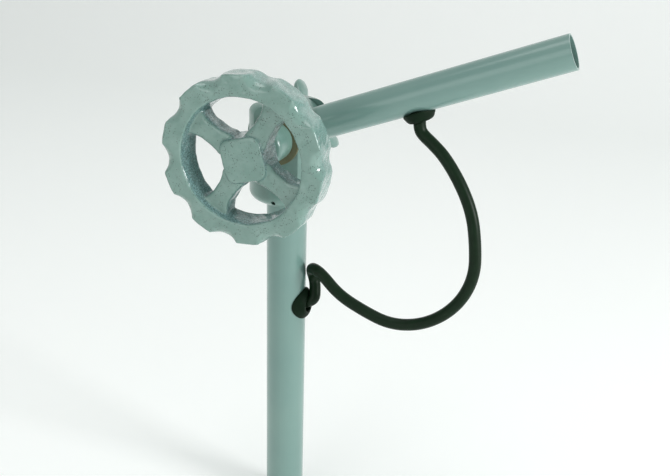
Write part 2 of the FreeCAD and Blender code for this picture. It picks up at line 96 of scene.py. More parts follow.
class Signal:
    """A value inside a material's node tree; arithmetic on it adds Math nodes."""

    def __init__(self, tree: bpy.types.NodeTree, socket: bpy.types.NodeSocket) -> None:
        """Keeps the tree and the output socket that carries the value."""
        self.tree, self.socket = tree, socket

    def _math(self, operation: str, first: Amount, second: Amount) -> "Signal":
        """Adds one Math node.

        Args:
            operation: the Math node's operation.
            first: its first operand.
            second: its second operand.

        Returns:
            The node's result.
        """
        return Graph.add(self.tree, "ShaderNodeMath", {"operation": operation}, {0: first, 1: second})

    def __add__(self, other: Amount) -> "Signal":
        """self + other."""
        return self._math("ADD", self, other)

    def __sub__(self, other: Amount) -> "Signal":
        """self - other."""
        return self._math("SUBTRACT", self, other)

    def __rsub__(self, other: Amount) -> "Signal":
        """other - self."""
        return self._math("SUBTRACT", other, self)

    def __mul__(self, other: Amount) -> "Signal":
        """self * other."""
        return self._math("MULTIPLY", self, other)

    __radd__ = __add__
    __rmul__ = __mul__


class Graph:
    """A material under construction."""

    def __init__(self, name: str) -> None:
        """Makes a node material with only its Principled shader and output."""
        self.material = bpy.data.materials.new(name)
        self.material.use_nodes = True
        self.tree = self.material.node_tree
        self.shader = self.tree.nodes["Principled BSDF"]

    @staticmethod
    def add(tree: bpy.types.NodeTree, kind: str, settings: dict[str, object],
            values: dict[Union[int, str], object], output: Union[int, str] = 0) -> Signal:
        """Adds a node, sets it up and connects it.

        Args:
            tree: the node tree.
            kind: the node's type.
            settings: properties set before the sockets.
            values: a number, tuple or Signal for each input socket.
            output: the output socket that is wanted.

        Returns:
            The wanted output.
        """
        node = tree.nodes.new(kind)
        for name, value in settings.items():
            setattr(node, name, value)
        for name, value in values.items():
            if isinstance(value, Signal):
                tree.links.new(value.socket, node.inputs[name])
            else:
                node.inputs[name].default_value = value
        return Signal(tree, node.outputs[output])

    def node(self, kind: str, settings: dict[str, object], values: dict[Union[int, str], object],
             output: Union[int, str] = 0) -> Signal:
        """Adds a node to this material, as Graph.add does."""
        return Graph.add(self.tree, kind, settings, values, output)

    def place(self, pitch: float = 0.0, scale: tuple[float, float, float] = (1.0, 1.0, 1.0)) -> Signal:
        """Object coordinates, turned about Y by the pitch and then stretched."""
        point = self.node("ShaderNodeTexCoord", {}, {}, "Object")
        turned = self.node("ShaderNodeVectorRotate", {"rotation_type": "Y_AXIS"}, {"Vector": point, "Angle": pitch})
        return self.node("ShaderNodeVectorMath", {"operation": "MULTIPLY"}, {0: turned, 1: scale})

    def noise(self, where: Signal, scale: float, detail: float = 2.0, roughness: float = 0.5) -> Signal:
        """Fractal noise from 0 to 1, of a number of features per metre."""
        return self.node("ShaderNodeTexNoise", {}, {"Vector": where, "Scale": scale, "Detail": detail,
                                                    "Roughness": roughness}, "Fac")

    def cells(self, where: Signal, scale: float, spread: float = 1.0) -> Signal:
        """Distance to the nearest of many scattered points, in cells."""
        return self.node("ShaderNodeTexVoronoi", {}, {"Vector": where, "Scale": scale, "Randomness": spread},
                         "Distance")

    def ramp(self, value: Signal, low: float, high: float) -> Signal:
        """0 where the value is under low, 1 where it is over high, and straight between."""
        return self.node("ShaderNodeMapRange", {"clamp": True}, {0: value, 1: low, 2: high, 3: 0.0, 4: 1.0})

    def blend(self, amount: Signal, first: object, second: object) -> Signal:
        """A colour between two, by an amount from 0 to 1."""
        return self.node("ShaderNodeMix", {"data_type": "RGBA"}, {0: amount, 6: first, 7: second}, 2)

    def relief(self, height: Signal, depth: float, strength: float = 1.0) -> Signal:
        """A normal from a height field whose full range is this many metres."""
        return self.node("ShaderNodeBump", {}, {"Height": height, "Distance": depth, "Strength": strength})

    def shade(self, **sockets: object) -> bpy.types.Material:
        """Sets or drives the shader's sockets.

        Args:
            sockets: a value or Signal for each socket, with underscores for the spaces in its name.

        Returns:
            The finished material.
        """
        for name, value in sockets.items():
            socket = self.shader.inputs[name.replace("_", " ")]
            if isinstance(value, Signal):
                self.tree.links.new(value.socket, socket)
            else:
                socket.default_value = value
        return self.material


# ---------------------------------------------------------------- finishes
def opaque(red: float, green: float, blue: float) -> tuple[float, float, float, float]:
    """A colour with full alpha, from linear light values."""
    return red, green, blue, 1.0


@dataclass(frozen=True)
class TubeEnamel:
    """Thin smooth enamel on drawn tube, with faint lines along the drawing direction."""

    name: str = "tube_enamel"
    pitch: float = 0.0
    base: tuple = opaque(0.180, 0.305, 0.272)
    deep: tuple = opaque(0.152, 0.275, 0.248)
    roughness: float = 0.30
    line_depth: float = 0.00009

    def build(self) -> bpy.types.Material:
        """Returns the material: broad colour drift, and noise stretched 60 times along the tube for the lines."""
        graph = Graph(self.name)
        drift = graph.ramp(graph.noise(graph.place(), 26.0, 3.0), 0.3, 0.7)
        lines = graph.noise(graph.place(self.pitch, (1.0, 1.0, 0.016)), 620.0, 4.0, 0.6)
        grain = graph.noise(graph.place(), 1500.0, 2.0)
        return graph.shade(Base_Color=graph.blend(drift, self.base, self.deep), Roughness=self.roughness,
                           Coat_Weight=0.55, Coat_Roughness=0.16, Specular_IOR_Level=0.5,
                           Normal=graph.relief(lines + grain * 0.25, self.line_depth, 0.7))


@dataclass(frozen=True)
class CastEnamel:
    """Thick glossy enamel on a rough casting: fine dark speckle, pinholes, an uneven skin, and pale painted glints
    on its sideways walls.
    """

    name: str = "cast_enamel"
    base: tuple = opaque(0.150, 0.272, 0.232)
    pale: tuple = opaque(0.205, 0.330, 0.290)
    speck: tuple = opaque(0.030, 0.070, 0.058)
    wall_dark: tuple = opaque(0.030, 0.095, 0.098)
    wall_glint: tuple = opaque(0.230, 0.400, 0.405)
    fine_specks: float = 1250.0
    coarse_specks: float = 520.0
    skin_depth: float = 0.0006
    pit_depth: float = 0.00025

    def build(self) -> bpy.types.Material:
        """Returns the material.

        Speckle is two sizes of cell centres, thinned by noise; pits are the same centres pressed in. The "wall"
        attribute is 1 on surfaces that face sideways, where the casting is rough; there the colour turns to dark
        grit with pale specks that are painted glints, standing in for the sparkle of light on the rough walls.
        """
        graph = Graph(self.name)
        where = graph.place()
        wall = graph.node("ShaderNodeAttribute", {"attribute_name": "wall"}, {}, "Fac")
        fine = 1.0 - graph.ramp(graph.cells(where, self.fine_specks), 0.20, 0.34)
        coarse = 1.0 - graph.ramp(graph.cells(where, self.coarse_specks), 0.07, 0.13)
        patchy = graph.ramp(graph.noise(where, 300.0, 3.0), 0.40, 0.62)
        specks = fine * patchy + coarse
        drift = graph.ramp(graph.noise(where, 90.0, 4.0, 0.6), 0.35, 0.68)
        skin = graph.noise(where, 210.0, 3.0, 0.55)
        grit = graph.noise(where, 1500.0, 2.0, 0.7)
        front = graph.blend(graph.ramp(specks, 0.2, 0.9), graph.blend(drift, self.base, self.pale), self.speck)
        # painted glints: on sideways walls, pale grit specks over dark grit stand in for the sparkle of light
        side = graph.blend(graph.ramp(grit, 0.43, 0.60), self.wall_dark, self.wall_glint)
        colour = graph.blend(wall * 0.75, front, side)
        uneven = graph.relief(skin, self.skin_depth, 0.55)
        pits = graph.node("ShaderNodeBump", {"invert": True}, {
            "Height": specks * 0.6 + grit * (wall * 2.4 + 0.12), "Distance": self.pit_depth, "Strength": 0.8,
            "Normal": uneven})
        return graph.shade(Base_Color=colour, Roughness=graph.ramp(specks, 0.0, 1.5) * 0.4 + (wall * 0.12 + 0.2),
                           Coat_Weight=0.9, Coat_Roughness=0.05, Normal=pits)


@dataclass(frozen=True)
class Plain:
    """A single-colour finish with a fine uneven skin."""

    name: str
    base: tuple
    roughness: float
    metallic: float = 0.0
    grain: float = 900.0
    depth: float = 0.00002
    coat: float = 0.0
    mottle: float = 0.12
    shine: float = 0.5

    def build(self) -> bpy.types.Material:
        """Returns the material: the base colour darkened a little by noise, and the same noise as relief."""
        graph = Graph(self.name)
        cloud = graph.noise(graph.place(), self.grain * 0.2, 4.0, 0.6)
        grain = graph.noise(graph.place(), self.grain, 3.0, 0.6)
        dark = tuple(channel * (1.0 - self.mottle * 2.0) for channel in self.base[:3]) + (1.0,)
        return graph.shade(Base_Color=graph.blend(graph.ramp(cloud, 0.35, 0.7), self.base, dark),
                           Roughness=self.roughness, Metallic=self.metallic, Coat_Weight=self.coat,
                           Coat_Roughness=0.12, Specular_IOR_Level=self.shine,
                           Normal=graph.relief(grain, self.depth, 0.8))


class Finishes:
    """Every material of the object, made once."""

    def __init__(self) -> None:
        """Builds the materials."""
        self.post_enamel = TubeEnamel("post_enamel").build()
        self.arm_enamel = TubeEnamel("arm_enamel", pitch=ARM_PITCH - math.pi / 2).build()
        self.part_enamel = Plain("part_enamel", opaque(0.160, 0.290, 0.252), 0.30, grain=420.0, depth=0.00012,
                                 coat=0.55).build()
        self.cast_enamel = CastEnamel().build()
        self.steel = Plain("turned_steel", opaque(0.45, 0.46, 0.45), 0.34, metallic=1.0, grain=1600.0).build()
        self.dark_steel = Plain("dark_steel", opaque(0.075, 0.085, 0.080), 0.45, metallic=0.7).build()
        self.bronze = Plain("turned_bronze", opaque(0.46, 0.31, 0.13), 0.33, metallic=1.0).build()
        self.fibre = Plain("khaki_fibre", opaque(0.140, 0.140, 0.072), 0.55, grain=700.0, depth=0.00004).build()
        self.rubber = Plain("black_rubber", opaque(0.0042, 0.0150, 0.0062), 0.50, grain=1100.0,
                            depth=0.00003, shine=0.09).build()
        self.sheath = Plain("cord_sheath", opaque(0.0058, 0.0190, 0.0075), 0.38, grain=1400.0,
                            depth=0.00002, shine=0.15).build()
        self.plastic = Plain("black_plastic", opaque(0.020, 0.022, 0.021), 0.5).build()


# ---------------------------------------------------------------- surfaces
@dataclass
class Surface:
    """Points in millimetres with quad faces, as whole arrays."""

    points: np.ndarray
    faces: np.ndarray

    def volume(self) -> float:
        """Signed volume: the sum over each quad's two triangles of a . (b x c) / 6."""
        corners = self.points[self.faces]
        first = np.einsum("ij,ij->i", corners[:, 0], np.cross(corners[:, 1], corners[:, 2]))
        second = np.einsum("ij,ij->i", corners[:, 0], np.cross(corners[:, 2], corners[:, 3]))
        return float((first + second).sum() / 6.0)

    def outward(self) -> "Surface":
        """The same surface with its faces turned outwards."""
        return self if self.volume() > 0.0 else Surface(self.points, self.faces[:, ::-1])

    def with_others(self, *others: "Surface") -> "Surface":
        """This surface and others in one set of arrays."""
        points, faces = [self.points], [self.faces]
        for other in others:
            faces.append(other.faces + sum(len(part) for part in points))
            points.append(other.points)
        return Surface(np.concatenate(points), np.concatenate(faces))


def grid(points: np.ndarray, wraps: bool) -> Surface:
    """A surface from a (rows, columns, 3) grid whose columns wrap round.

    Args:
        points: the grid. Each cell between two rows and two columns is one quad.
        wraps: whether the last row also joins the first.

    Returns:
        The surface, facing outwards.
    """
    rows, columns = points.shape[:2]
    row, column = np.meshgrid(np.arange(rows if wraps else rows - 1), np.arange(columns), indexing="ij")
    below, beside = (row + 1) % rows, (column + 1) % columns
    faces = np.stack([row * columns + column, row * columns + beside, below * columns + beside,
                      below * columns + column], axis=-1).reshape(-1, 4)
    return Surface(points.reshape(-1, 3), faces).outward()


@dataclass(frozen=True)
class Axis:
    """A line to turn pieces about: an origin in millimetres and two unit vectors."""

    origin: np.ndarray
    along: np.ndarray
    across: np.ndarray

    def put(self, radius: np.ndarray, angle: np.ndarray, height: np.ndarray) -> np.ndarray:
        """Cylindrical places about the axis, as points."""
        aside = np.cross(self.along, self.across)
        return (self.origin + (radius * np.cos(angle))[..., None] * self.across
                + (radius * np.sin(angle))[..., None] * aside + height[..., None] * self.along)

    def shifted(self, distance: float) -> "Axis":
        """The same axis with its origin further along it."""
        return Axis(self.origin + self.along * distance, self.along, self.across)


UP = Axis(np.zeros(3), np.array([0.0, 0.0, 1.0]), np.array([1.0, 0.0, 0.0]))
FORWARD = Axis(PIVOT, np.array([0.0, -1.0, 0.0]), np.array([1.0, 0.0, 0.0]))
BACKWARD = Axis(PIVOT, np.array([0.0, 1.0, 0.0]), np.array([1.0, 0.0, 0.0]))
ARM = Axis(PIVOT, np.array([math.cos(ARM_PITCH), 0.0, math.sin(ARM_PITCH)]),
           np.array([math.sin(ARM_PITCH), 0.0, -math.cos(ARM_PITCH)]))


def rounded(corners: list[tuple[float, float, float]], steps: int = 6, runs: int = 1) -> np.ndarray:
    """A closed outline whose corners are arcs.

    Args:
        corners: (x, y, radius) of each corner, in order.
        steps: points along each arc less one.
        runs: points added along each straight stretch.

    Returns:
        The outline's points. Each arc is a quadratic curve from the tangent point before its corner to the
        one after it, with the corner as its control point.
    """
    table = np.array(corners, float)
    place, reach = table[:, :2], table[:, 2]
    pieces = []
    for index, corner in enumerate(place):
        before, after = place[index - 1] - corner, place[(index + 1) % len(place)] - corner
        start = corner + before / np.linalg.norm(before) * reach[index]
        end = corner + after / np.linalg.norm(after) * reach[index]
        share = np.linspace(0.0, 1.0, steps + 1)[:, None]
        pieces.append((1 - share) ** 2 * start + 2 * share * (1 - share) * corner + share ** 2 * end)
    closed = []
    for piece, following in zip(pieces, pieces[1:] + pieces[:1]):
        fill = np.linspace(0.0, 1.0, runs + 2)[1:-1, None]
        closed += [piece, piece[-1] + (following[0] - piece[-1]) * fill]
    return np.concatenate(closed)


def turned(axis: Axis, outline: np.ndarray, segments: int = 96) -> Surface:
    """A ring: a closed (radius, height) outline carried once round an axis."""
    angle = np.linspace(0.0, 2.0 * math.pi, segments, endpoint=False)
    radius, height = outline[:, :1], outline[:, 1:]
    return grid(axis.put(radius + 0.0 * angle, 0.0 * radius + angle, height + 0.0 * angle), True)


def lumps(points: np.ndarray, finest: float, coarsest: float, waves: int, seed: int) -> np.ndarray:
    """Smooth unevenness from about -1 to 1.

    The sum of sine waves in random directions, whose lengths run evenly from the coarsest to the finest,
    each with a random phase, divided by the square root of half their number.
    """
    draw = np.random.default_rng(seed)
    heading = draw.normal(size=(3, waves))
    heading /= np.linalg.norm(heading, axis=0)
    turns = 2.0 * math.pi / np.linspace(coarsest, finest, waves)
    phase = draw.uniform(0.0, 2.0 * math.pi, waves)
    return np.sin(points @ (heading * turns) + phase).sum(axis=1) / math.sqrt(waves / 2.0)


# ---------------------------------------------------------------- pieces
def make(name: str, surface: Surface, material: bpy.types.Material) -> bpy.types.Object:
    """A smooth-shaded object from a surface in millimetres."""
    mesh = bpy.data.meshes.new(name)
    mesh.from_pydata((surface.points * MM).tolist(), [], surface.faces.tolist())
    piece = bpy.data.objects.new(name, mesh)
    bpy.context.scene.collection.objects.link(piece)
    mesh.materials.append(material)
    mesh.shade_smooth()
    return piece


def weld_poles(piece: bpy.types.Object) -> None:
    """Merges the coincident points of each pole to one, which closes the ends without moving them."""
    shape = bmesh.new()
    shape.from_mesh(piece.data)
    bmesh.ops.remove_doubles(shape, verts=shape.verts, dist=POLE_GAP)
    shape.to_mesh(piece.data)
    shape.free()


def finish(piece: bpy.types.Object, body: Body, slot: Slot, *nodes: str) -> None:
    """Makes the piece ride on a body and stand for CAD nodes, and reports it."""
    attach(piece, body.value)
    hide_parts(*nodes)
    log.info("%s: %d faces on %s", piece.name, len(piece.data.polygons), body.value)


def fused(piece: bpy.types.Object, voxel: float, rounds: int, lump: float, rough: float, seed: int) -> None:
    """Turns overlapping closed surfaces into one cast skin.

    A voxel remesh unites them, a smoothing blends the joints, and each point then moves along its normal by
    the uneven height. The "wall" attribute records how far the surface faces away from the Y axis, in full
    within the rough radius about the clamp's axis and by a third outside it.

    Args:
        piece: the object, changed in place.
        voxel: the remesh's cell in millimetres.
        rounds: how many times to smooth.
        lump: the unevenness in millimetres.
        rough: the radius inside which walls are left rough and get their painted glints in full, in millimetres.
        seed: picks the unevenness.
    """
    remesh = piece.modifiers.new("unite", "REMESH")
    remesh.mode, remesh.voxel_size = "VOXEL", voxel * MM
    smooth = piece.modifiers.new("blend", "SMOOTH")
    smooth.factor, smooth.iterations = 0.5, rounds
    graph = bpy.context.evaluated_depsgraph_get()
    mesh = bpy.data.meshes.new_from_object(piece.evaluated_get(graph))
    piece.modifiers.clear()
    piece.data = mesh
    count = len(mesh.vertices)
    points, normals = np.empty(count * 3), np.empty(count * 3)
    mesh.vertices.foreach_get("co", points)
    mesh.vertex_normals.foreach_get("vector", normals)
    points, normals = points.reshape(-1, 3), normals.reshape(-1, 3)
    reach = np.hypot(points[:, 0], points[:, 2] - PIVOT[2] * MM) / MM
    wall = np.clip(1.3 - 1.7 * np.abs(normals[:, 1]), 0.0, 1.0) * np.where(reach < rough, 1.0, 0.33)
    height = lump * MM * lumps(points / MM, finest=3.0, coarsest=14.0, waves=18, seed=seed) * (0.7 + 0.6 * wall)
    mesh.vertices.foreach_set("co", (points + normals * height[:, None]).ravel())
    mesh.attributes.new("wall", "FLOAT", "POINT").data.foreach_set("value", wall.astype(np.float32))
    mesh.shade_smooth()
    mesh.update()


@dataclass
class Handwheel:
    """The cast wheel: a deep scalloped rim, four flared spokes and a raised square hub. Millimetres."""

    front: float = 54.8
    depth: float = 13.8
    outer: float = 38.0
    inner: float = 27.4
    scoops: int = 10
    scoop_radius: float = 6.8
    scoop_front: float = 5.6
    scoop_back: float = 1.2
    scoop_decay: float = 1.7
    phase: float = math.radians(13.5)
    spoke_width: float = 9.0
    spoke_depth: float = 9.5
    spoke_recess: float = 4.0
    spoke_start: float = 4.0
    spoke_overlap: float = 3.0
    hub_reach: float = 11.5
    rim_flare: float = 0.55
    hub_flare: float = 0.25
    hub_width: float = 20.0
    hub_front: float = 52.5
    hub_depth: float = 15.0
    hub_corner: float = 5.4

    def edge(self, angle: np.ndarray, depth: np.ndarray) -> np.ndarray:
        """The rim's outer radius.

        Each scoop is a round cutter whose depth dies away exponentially from the front face to the back. At
        an angle a from its middle its wall is at c cos(a) - sqrt(r^2 - c^2 sin(a)^2), where c is the cutter's
        distance from the axis and r its radius. The result is the smooth lesser of that and the full radius.

        Args:
            angle: the angle about the wheel's axis.
            depth: the distance behind the front face.

        Returns:
            The radius in millimetres.
        """
        pitch = 2.0 * math.pi / self.scoops
        off = (angle - self.phase - 0.75 * math.pi + pitch / 2.0) % pitch - pitch / 2.0
        cut = self.scoop_back + (self.scoop_front - self.scoop_back) * np.exp(-depth / self.scoop_decay)
        centre = self.outer - cut + self.scoop_radius
        inside = np.maximum(self.scoop_radius ** 2 - (centre * np.sin(off)) ** 2, 0.0)
        scoop = np.where(inside > 0.0, centre * np.cos(off) - np.sqrt(inside), self.outer + 6.0)
        softness = 0.9
        return -softness * np.logaddexp(-scoop / softness, -self.outer / softness)

    def rim(self) -> Surface:
        """The rim: a rounded section from the inner radius to the scalloped edge, carried round the axis."""
        outline = rounded([(0.0, 1.0, 0.14), (1.0, 1.0, 0.12), (1.0, 0.0, 0.07), (0.0, 0.0, 0.11)], 8, 14)
        angle = np.linspace(0.0, 2.0 * math.pi, 720, endpoint=False)
        share, back = outline[:, :1], outline[:, 1:] * self.depth
        inner = self.inner + 0.9 * (1.0 - back / self.depth) ** 2
        radius = inner + share * (self.edge(angle, back) - inner)
        return grid(FORWARD.put(radius, angle + 0.0 * radius, self.front - back + 0.0 * radius), True)

    def spoke(self, turn: float) -> Surface:
        """One spoke: a rounded rectangle carried outwards, wider towards the hub and the rim."""
        reach = np.linspace(self.spoke_start, self.inner + self.spoke_overlap, 60)[:, None]
        share = (reach - self.hub_reach) / (self.inner - self.hub_reach)
        flare = (1.0 + self.rim_flare * np.clip((share - 0.55) / 0.45, 0.0, 1.2) ** 2.2
                 + self.hub_flare * np.clip((0.35 - share) / 0.35, 0.0, 1.0) ** 2)
        section = rounded([(-0.5, 0.0, 0.2), (0.5, 0.0, 0.2), (0.5, 1.0, 0.12), (-0.5, 1.0, 0.12)], 6, 8)
        side = section[:, 0] * self.spoke_width * flare
        height = self.front - self.spoke_recess - section[:, 1] * self.spoke_depth + 0.0 * reach
        radius, angle = np.hypot(reach, side), np.arctan2(side, reach) + turn
        body = FORWARD.put(radius, angle, height)
        ends = [np.broadcast_to(body[row].mean(axis=0), body[row].shape) for row in (0, -1)]
        return grid(np.concatenate([ends[0][None], body, ends[1][None]]), False)

    def hub(self) -> Surface:
        """The hub: a rounded square carried from front to back, its front edge eased over a millimetre."""
        half, corner = self.hub_width / 2.0, self.hub_corner
        square = rounded([(half, half, corner), (-half, half, corner), (-half, -half, corner),
                          (half, -half, corner)], 8, 8)
        radius, angle = np.hypot(*square.T), np.arctan2(square[:, 1], square[:, 0]) + self.phase
        ease = np.array([(0.0, 0.0), (0.55, 0.0), (0.87, 0.0), (0.955, 0.25), (1.0, 1.0), (1.015, 3.0),
                         (1.02, self.hub_depth), (0.5, self.hub_depth), (0.0, self.hub_depth)])
        scale, back = ease[:, :1], ease[:, 1:]
        return grid(FORWARD.put(scale * radius, angle + 0.0 * scale, self.hub_front - back + 0.0 * radius), False)

    def build(self, finishes: Finishes) -> None:
        """Unites rim, spokes and hub to one casting and dresses it."""
        spokes = [self.spoke(self.phase + math.radians(45.0 + 90.0 * index)) for index in range(4)]
        piece = make("handwheel_casting", self.rim().with_others(*spokes, self.hub()), finishes.cast_enamel)
        fused(piece, voxel=0.42, rounds=2, lump=0.09, rough=30.0, seed=11)
        finish(piece, Body.WHEEL, Slot.CAST, "handwheel")


@dataclass
class Collar:
    """The spindle's collar: a smooth drum with a rounded front and a thinner neck up to the hub."""

    start: float = 16.5
    end: float = 31.5
    radius: float = 9.2
    neck: float = 6.0
    neck_end: float = 37.45
    bore: float = 4.02

    def build(self, finishes: Finishes) -> None:
        """Turns the collar about the clamp's axis."""
        outline = rounded([(self.bore, self.start, 0.3), (self.radius, self.start, 0.5),
                           (self.radius, self.end, 3.4), (self.neck, self.end, 0.6),
                           (self.neck, self.neck_end, 0.2), (self.bore, self.neck_end, 0.2)], 8, 2)
        finish(make("spindle_collar_drum", turned(FORWARD, outline, 128), finishes.part_enamel),
               Body.WHEEL, Slot.PAINT, "spindle_collar")


@dataclass
class Grommet:
    """A rubber grommet saddled on a tube, with a thick rounded lip round an open bore. Millimetres."""

    name: str
    axis: Axis
    tube: float
    flange: float
    lip: float
    height: float
    node: str
    body: Body
    bore: float = 4.2
    neck: float = 5.4
    tail: float = 2.5
    sag: float = 9.0

    def build(self, finishes: Finishes) -> None:
        """Turns the section about the exit's axis and drops its flange on to the tube.

        At distance v beside the tube's axis the tube falls away by R - sqrt(R^2 - v^2). The stiff flange
        follows that fall d only up to its sag s, as s tanh(d / s), by a share that lessens towards the lip.
        """
        outline = rounded([
            (self.bore, -self.tail, 0.3), (self.neck, -self.tail, 0.3), (self.neck, 0.15, 0.1),
            (self.flange, 0.1, 0.25), (self.flange - 0.1, 0.8, 0.4), (self.lip + 0.25, self.height - 0.5, 0.9),
            (self.lip - 1.0, self.height, 0.9), (self.bore, self.height, 0.5)], 6, 5)
        angle = np.linspace(0.0, 2.0 * math.pi, 144, endpoint=False)
        radius, height = outline[:, :1], outline[:, 1:]
        beside = radius * np.sin(angle)
        fall = self.tube - np.sqrt(np.maximum(self.tube ** 2 - beside ** 2, 0.0))
        share = np.clip(1.0 - height / self.height, 0.0, 1.0) ** 0.8
        place = self.tube + height - share * self.sag * np.tanh(fall / self.sag)
        surface = grid(self.axis.put(radius + 0.0 * angle, angle + 0.0 * radius, place), True)
        finish(make(self.name, surface, finishes.rubber), self.body, Slot.RUBBER, self.node)


@dataclass
class WingNut:
    """A cast wing nut: a tapered drum with two broad upright wings. Millimetres."""

    start: float = 25.05
    base: float = 8.0
    top: float = 6.2
    height: float = 10.0
    bore: float = 4.08
    span: float = 20.4
    rise: float = 20.0
    thickness: float = 5.6
    phase: float = math.radians(124.0)

    def wing(self, turn: float) -> Surface:
        """One wing: its outline shrinks towards its middle by (1 - |v|^3)^(1/3) as v crosses its thickness."""
        edge = rounded([
            (3.6, 1.2, 1.0), (self.top + 1.6, 2.6, 2.0), (self.span * 0.74, self.rise * 0.36, 3.0),
            (self.span * 0.985, self.rise * 0.60, 4.0), (self.span * 0.99, self.rise * 0.98, 4.2),
            (self.span * 0.72, self.rise * 0.99, 3.4), (self.top + 0.8, self.height * 0.95, 2.4),
            (3.6, self.height * 0.93, 1.0)], 8, 5)
        middle = edge.mean(axis=0)
        across = np.sin(np.linspace(-0.5, 0.5, 25) * math.pi)[:, None]
        shrink = (1.0 - np.abs(across) ** 3) ** (1.0 / 3.0)
        shrink[[0, -1]] = 0.0
        scaled = middle + shrink[..., None] * (edge - middle)
        taper = 1.12 - 0.35 * (scaled[..., 0] / self.span)
        side = across * self.thickness / 2.0 * taper
        radius, angle = np.hypot(scaled[..., 0], side), np.arctan2(side, scaled[..., 0]) + turn
        return grid(BACKWARD.shifted(self.start).put(radius, angle, scaled[..., 1]), False)

    def build(self, finishes: Finishes) -> None:
        """Unites the drum and the wings to one casting."""
        drum = turned(BACKWARD.shifted(self.start), rounded([
            (self.bore, 0.0, 0.2), (self.base, 0.0, 0.8), (self.top, self.height, 1.2),
            (self.bore, self.height, 0.4)], 6, 6), 96)
        wings = [self.wing(-self.phase + math.pi * index) for index in range(2)]
        piece = make("wing_nut_casting", drum.with_others(*wings), finishes.part_enamel)
        fused(piece, voxel=0.33, rounds=5, lump=0.07, rough=0.0, seed=5)
        finish(piece, Body.NUT, Slot.PAINT, "wing_nut")


@dataclass
class Washers:
    """The turned rings of both stacks, with eased edges."""

    ease: float = 0.25

    def ring(self, name: str, axis: Axis, inner: float, outer: float, start: float, end: float,
             material: bpy.types.Material, body: Body, slot: Slot) -> None:
        """Turns one ring.

        Args:
            name: the piece's name; without its ending it is the CAD node's.
            axis: the axis to turn about.
            inner: the bore's radius.
            outer: the outer radius.
            start: the near face's distance from the pivot.
            end: the far face's distance.
            material: its finish.
            body: what it rides on.
            slot: its material slot; not used.
        """
        outline = rounded([(inner, start, self.ease), (outer, start, self.ease), (outer, end, self.ease),
                           (inner, end, self.ease)], 4, 1)
        finish(make(f"{name}_ring", turned(axis, outline, 128), material), body, slot, name)

    def build(self, finishes: Finishes) -> None:
        """Turns the khaki front washer, the rear washer and the spacer sleeve."""
        bore = 4.12
        self.ring("front_washer", FORWARD, bore, 12.1, 14.85, 16.45, finishes.fibre, Body.POST, Slot.FIBRE)
        self.ring("rear_washer", BACKWARD, bore, 12.1, 14.85, 16.45, finishes.part_enamel, Body.STACK, Slot.PAINT)
        self.ring("spacer_sleeve", BACKWARD, bore, 7.6, 16.5, 22.5, finishes.part_enamel, Body.STACK, Slot.PAINT)


@dataclass
class Weld:
    """The bead where the post enters the head: a rippled ring under the head's edge."""

    radius: float = 10.6
    height: float = 176.1
    bead: float = 1.15
    ripples: int = 46

    def build(self, finishes: Finishes) -> None:
        """A ring whose thickness swells as 1 + 0.16 |sin(n a / 2)|, for n ripples at angle a."""
        angle = np.linspace(0.0, 2.0 * math.pi, 552, endpoint=False)
        around = np.linspace(0.0, 2.0 * math.pi, 20, endpoint=False)[:, None]
        bead = self.bead * (0.92 + 0.16 * np.abs(np.sin(self.ripples * angle / 2.0)))
        radius = self.radius + bead * np.cos(around)
        surface = grid(UP.put(radius, angle + 0.0 * radius, self.height + bead * np.sin(around)), True)
        finish(make("head_weld_bead", surface, finishes.part_enamel), Body.POST, Slot.PAINT, "head_weld")


